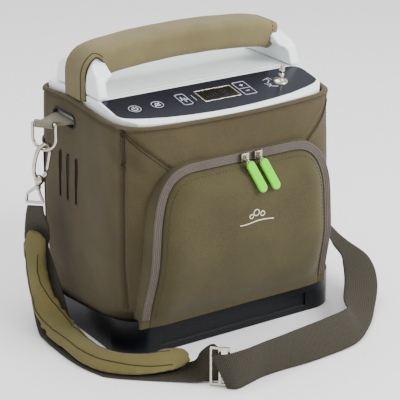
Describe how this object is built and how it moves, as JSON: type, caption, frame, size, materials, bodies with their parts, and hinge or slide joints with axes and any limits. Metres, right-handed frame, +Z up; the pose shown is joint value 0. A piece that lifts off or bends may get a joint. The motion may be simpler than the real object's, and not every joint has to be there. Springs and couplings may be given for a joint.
{
  "type": "portable oxygen concentrator",
  "caption": "Portable oxygen concentrator in a padded fabric carry case with a wrapped handle, front pocket, sloping control panel, plastic boot and clip-on shoulder strap.",
  "frame": {"origin": "centre of the boot's underside, which stands on the ground", "axes": "+X to the machine's right as seen from the front, +Y to its back, +Z up; the pocket and the control panel face -Y"},
  "size_m": [0.3649, 0.3075, 0.307],
  "materials": {
    "boot_plastic": "satin",
    "screw_steel": "satin",
    "battery_case": "fine grain",
    "latch_green": "satin",
    "case_fabric": "fine knit over foam",
    "pocket_fabric": "fine knit over foam",
    "pad_fabric": "fine knit over foam",
    "wrap_fabric": "fine knit over foam",
    "binding_tape": "woven",
    "zip_tape": "woven",
    "webbing": "ribbed weave",
    "nickel": "polished",
    "zip_metal": "polished",
    "pull_rubber": "matt",
    "white_shell": "satin gloss",
    "panel_film": "gloss",
    "key_film": "gloss",
    "lcd_glass": "dark, smooth",
    "machine_shell": "satin",
    "black_parts": "satin",
    "cast_alloy": "cast",
    "bed_alloy": "drawn",
    "rotor_steel": "turned",
    "board": "solder mask",
    "foam": "open foam"
  },
  "bodies": {
    "case": {"boot_tray": "boot_plastic", "boot_screw_1": "screw_steel", "boot_screw_2": "screw_steel", "boot_screw_3": "screw_steel", "boot_screw_4": "screw_steel", "carry_sleeve": "case_fabric", "vent_binding": "binding_tape", "vent_grille": "black_parts", "vent_pull": "pull_rubber", "front_pocket": "pocket_fabric", "zipper_tape": "zip_tape", "control_panel": "panel_film", "display_frame": "nickel", "display_window": "lcd_glass", "oxygen_outlet": "nickel", "top_cover": "white_shell", "carry_handle": "white_shell", "handle_wrap": "wrap_fabric", "housing_front": "machine_shell", "housing_rear": "machine_shell", "power_inlet": "black_parts", "chassis_plate": "cast_alloy", "compressor_block": "cast_alloy", "cylinder_head_left": "cast_alloy", "cylinder_head_right": "cast_alloy", "sieve_bed_left": "bed_alloy", "sieve_bed_right": "bed_alloy", "product_tank": "machine_shell", "valve_manifold": "black_parts", "fan_frame": "black_parts", "main_board": "board", "intake_filter": "foam", "side_tab_left": "webbing", "swivel_eye_left": "nickel", "side_tab_right": "webbing", "swivel_eye_right": "nickel", "strap_short": "webbing", "shoulder_pad": "pad_fabric", "strap_tail": "webbing", "strap_long": "webbing", "slide_adjuster": "nickel"},
    "battery": {"battery_pack": "battery_case"},
    "latch": {"battery_latch": "latch_green"},
    "slider_left": {"zipper_slider_left": "zip_metal"},
    "slider_right": {"zipper_slider_right": "zip_metal"},
    "pull_left": {"zipper_pull_left": "pull_rubber"},
    "pull_right": {"zipper_pull_right": "pull_rubber"},
    "power_button": {"power_key": "key_film"},
    "alarm_button": {"alarm_key": "key_film"},
    "mode_button": {"mode_key": "key_film"},
    "plus_button": {"plus_key": "key_film"},
    "minus_button": {"minus_key": "key_film"},
    "rotor": {"motor_rotor": "rotor_steel"},
    "fan": {"fan_rotor": "black_parts"},
    "ring_left": {"d_ring_left": "nickel"},
    "ring_right": {"d_ring_right": "nickel"},
    "hook_left": {"snap_hook_left": "nickel"},
    "hook_right": {"snap_hook_right": "nickel"},
    "gate_left": {"snap_gate_left": "nickel"},
    "gate_right": {"snap_gate_right": "nickel"}
  },
  "joints": [
    {"name": "battery_slide", "type": "slide", "parent": "case", "child": "battery", "axis": [0, 1, 0], "range_m": [0, 0.13]},
    {"name": "latch_slide", "type": "slide", "parent": "battery", "child": "latch", "axis": [1, 0, 0], "range_m": [0, 0.006], "stiffness_N_per_m": 300},
    {"name": "zip_left", "type": "slide", "parent": "case", "child": "slider_left", "axis": [-1, 0, 0], "range_m": [0, 0.05]},
    {"name": "zip_right", "type": "slide", "parent": "case", "child": "slider_right", "axis": [1, 0, 0], "range_m": [0, 0.025]},
    {"name": "pull_swing_left", "type": "hinge", "parent": "slider_left", "child": "pull_left", "pos_m": [-0.002, -0.12046, 0.1957], "axis": [-1, 0, 0], "range_deg": [0, 80]},
    {"name": "pull_swing_right", "type": "hinge", "parent": "slider_right", "child": "pull_right", "pos_m": [0.014, -0.12046, 0.1957], "axis": [-1, 0, 0], "range_deg": [0, 80]},
    {"name": "power_press", "type": "slide", "parent": "case", "child": "power_button", "axis": [0, 0.1857, -0.9826], "range_m": [0, 0.0008], "stiffness_N_per_m": 800},
    {"name": "alarm_press", "type": "slide", "parent": "case", "child": "alarm_button", "axis": [0, 0.1857, -0.9826], "range_m": [0, 0.0008], "stiffness_N_per_m": 800},
    {"name": "mode_press", "type": "slide", "parent": "case", "child": "mode_button", "axis": [0, 0.1857, -0.9826], "range_m": [0, 0.0008], "stiffness_N_per_m": 800},
    {"name": "plus_press", "type": "slide", "parent": "case", "child": "plus_button", "axis": [0, 0.1857, -0.9826], "range_m": [0, 0.0008], "stiffness_N_per_m": 800},
    {"name": "minus_press", "type": "slide", "parent": "case", "child": "minus_button", "axis": [0, 0.1857, -0.9826], "range_m": [0, 0.0008], "stiffness_N_per_m": 800},
    {"name": "motor_spin", "type": "hinge", "parent": "case", "child": "rotor", "pos_m": [-0.045, 0, 0.084], "axis": [0, 1, 0], "continuous": true},
    {"name": "fan_spin", "type": "hinge", "parent": "case", "child": "fan", "pos_m": [0.1, 0, 0.1], "axis": [1, 0, 0], "continuous": true},
    {"name": "ring_swing_left", "type": "hinge", "parent": "case", "child": "ring_left", "pos_m": [-0.157, 0.018, 0.224], "axis": [0.6222, -0.7828, 0], "range_deg": [-2, 0.4]},
    {"name": "hook_swivel_left", "type": "hinge", "parent": "case", "child": "hook_left", "pos_m": [-0.163, 0.026, 0.152], "axis": [0.1302, -0.1735, 0.9762], "range_deg": [-4, 30]},
    {"name": "gate_open_left", "type": "hinge", "parent": "hook_left", "child": "gate_left", "pos_m": [-0.15314, 0.02204, 0.17223], "axis": [-0.0492, -0.9845, -0.1685], "range_deg": [0, 22], "stiffness_Nm_per_rad": 0.05},
    {"name": "ring_swing_right", "type": "hinge", "parent": "case", "child": "ring_right", "pos_m": [0.157, 0.018, 0.224], "axis": [-0.6222, -0.7828, 0], "range_deg": [-0.4, 2]},
    {"name": "hook_swivel_right", "type": "hinge", "parent": "case", "child": "hook_right", "pos_m": [0.163, 0.026, 0.152], "axis": [-0.1302, -0.1735, 0.9762], "range_deg": [-30, 4]},
    {"name": "gate_open_right", "type": "hinge", "parent": "hook_right", "child": "gate_right", "pos_m": [0.15314, 0.02204, 0.17223], "axis": [-0.0492, 0.9845, 0.1685], "range_deg": [0, 22], "stiffness_Nm_per_rad": 0.05}
  ]
}
